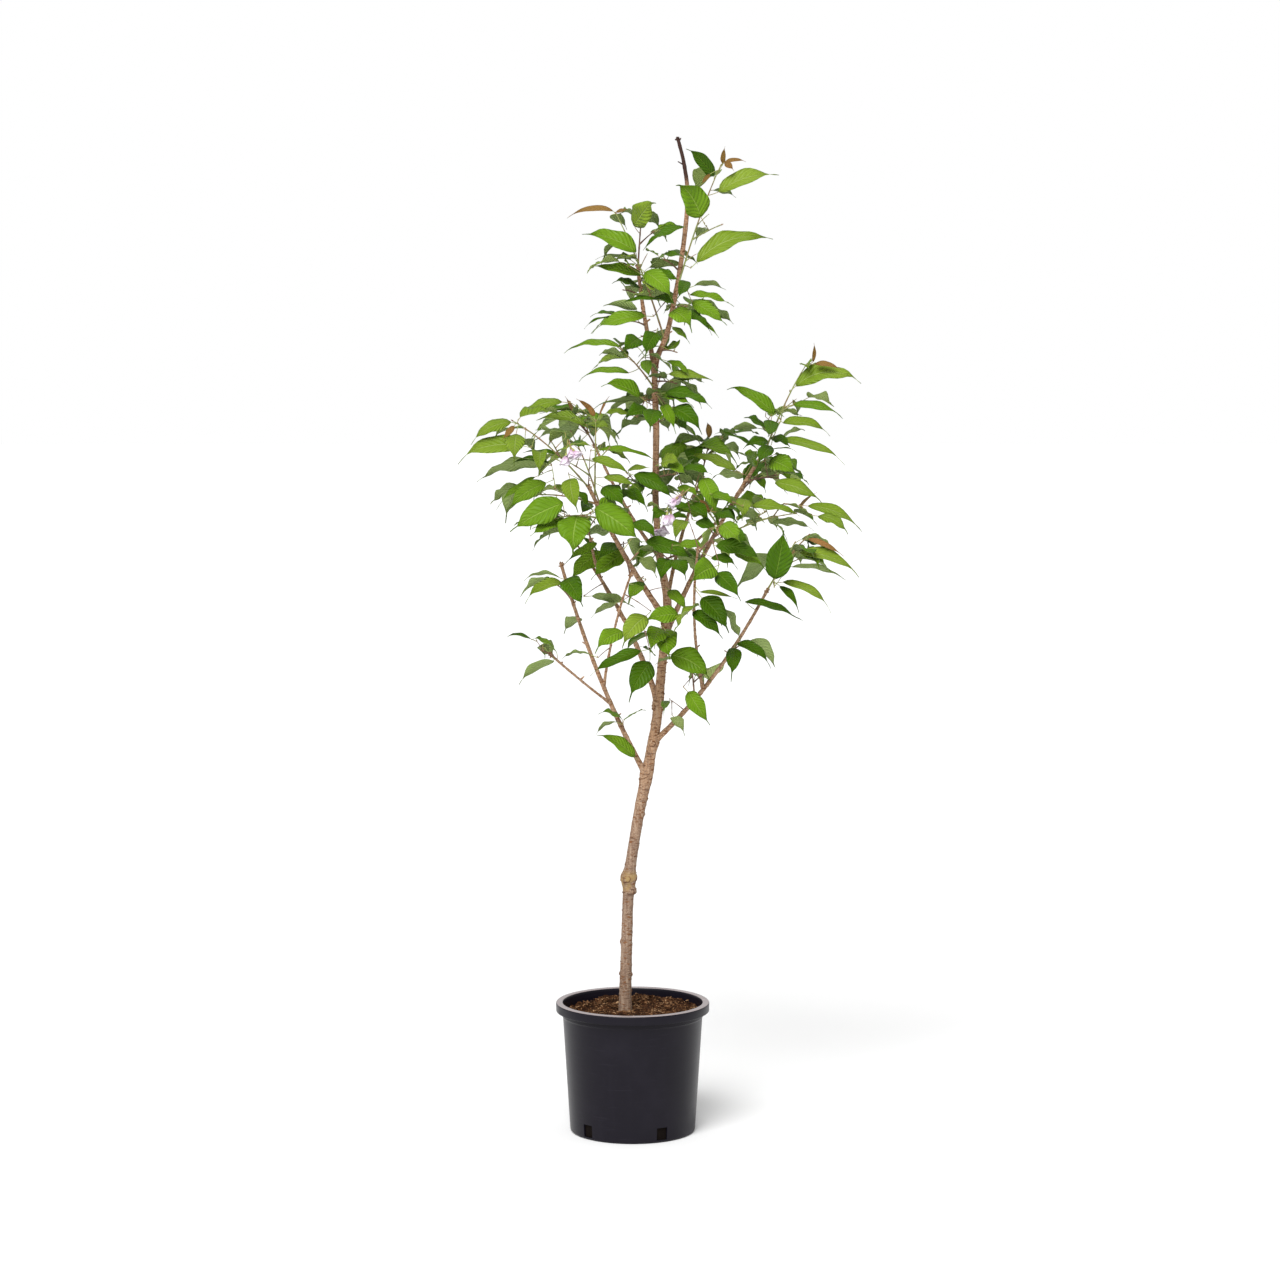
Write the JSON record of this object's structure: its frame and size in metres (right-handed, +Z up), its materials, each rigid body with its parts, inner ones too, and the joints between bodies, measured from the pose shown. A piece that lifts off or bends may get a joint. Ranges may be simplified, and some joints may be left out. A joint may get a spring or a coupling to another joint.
{
  "type": "potted cherry tree",
  "caption": "Young two-leader cherry tree in leaf, with a few pink blossoms, standing in a round black nursery pot filled with brown coir.",
  "frame": {"origin": "centre of the pot's flat underside", "axes": "+Z up along the trunk, +Y away from the viewer, +X towards the fuller side of the crown"},
  "size_m": [0.9417, 0.8324, 2.2903],
  "materials": {
    "pot_plastic": "matte black, lightly glossy on the lip",
    "bark_coir": "loose, rough coir and bark fines",
    "cherry_bark": "young pinkish-tan bark with level lenticels",
    "leaf_green": "semi-matte veined leaves on green twigs"
  },
  "bodies": {
    "root": {"pot": "pot_plastic", "soil": "bark_coir", "trunk": "cherry_bark", "leader_left": "cherry_bark", "bough_left_low": "cherry_bark", "bough_left_side": "cherry_bark", "bough_left_front": "cherry_bark", "bough_left_mid": "cherry_bark", "bough_left_fork": "cherry_bark", "bough_left_high": "cherry_bark", "bough_right_low": "cherry_bark", "bough_right_front": "cherry_bark", "bough_right_high": "cherry_bark", "bough_back_mid": "cherry_bark", "bough_back_left": "cherry_bark", "bough_back_right": "cherry_bark", "foliage_top_right": "leaf_green", "foliage_top_left": "leaf_green", "foliage_leader_tip": "leaf_green", "foliage_leader_high": "leaf_green", "foliage_leader_low": "leaf_green", "foliage_leader_mid": "leaf_green", "foliage_leader_side": "leaf_green", "foliage_fork": "leaf_green", "foliage_mid_shoot": "leaf_green", "foliage_mid_left": "leaf_green", "foliage_mid_right": "leaf_green", "foliage_mid_back": "leaf_green", "foliage_centre_left": "leaf_green", "foliage_centre_right": "leaf_green", "foliage_centre_front": "leaf_green", "foliage_centre_low": "leaf_green", "foliage_back_mid": "leaf_green", "foliage_back_left": "leaf_green", "foliage_back_right": "leaf_green", "foliage_left_edge": "leaf_green", "foliage_left_outer": "leaf_green", "foliage_left_shoot": "leaf_green", "foliage_left_back": "leaf_green", "foliage_left_front": "leaf_green", "foliage_left_mid": "leaf_green", "foliage_left_fork": "leaf_green", "foliage_left_low": "leaf_green", "foliage_left_side": "leaf_green", "foliage_left_foot": "leaf_green", "foliage_front_left": "leaf_green", "foliage_front_low": "leaf_green", "foliage_front_foot": "leaf_green", "foliage_front_right": "leaf_green", "foliage_front_mid": "leaf_green", "foliage_right_shoot": "leaf_green", "foliage_right_inner": "leaf_green", "foliage_right_mid": "leaf_green", "foliage_right_edge": "leaf_green", "foliage_right_low": "leaf_green", "foliage_right_knob": "leaf_green"}
  },
  "joints": []
}
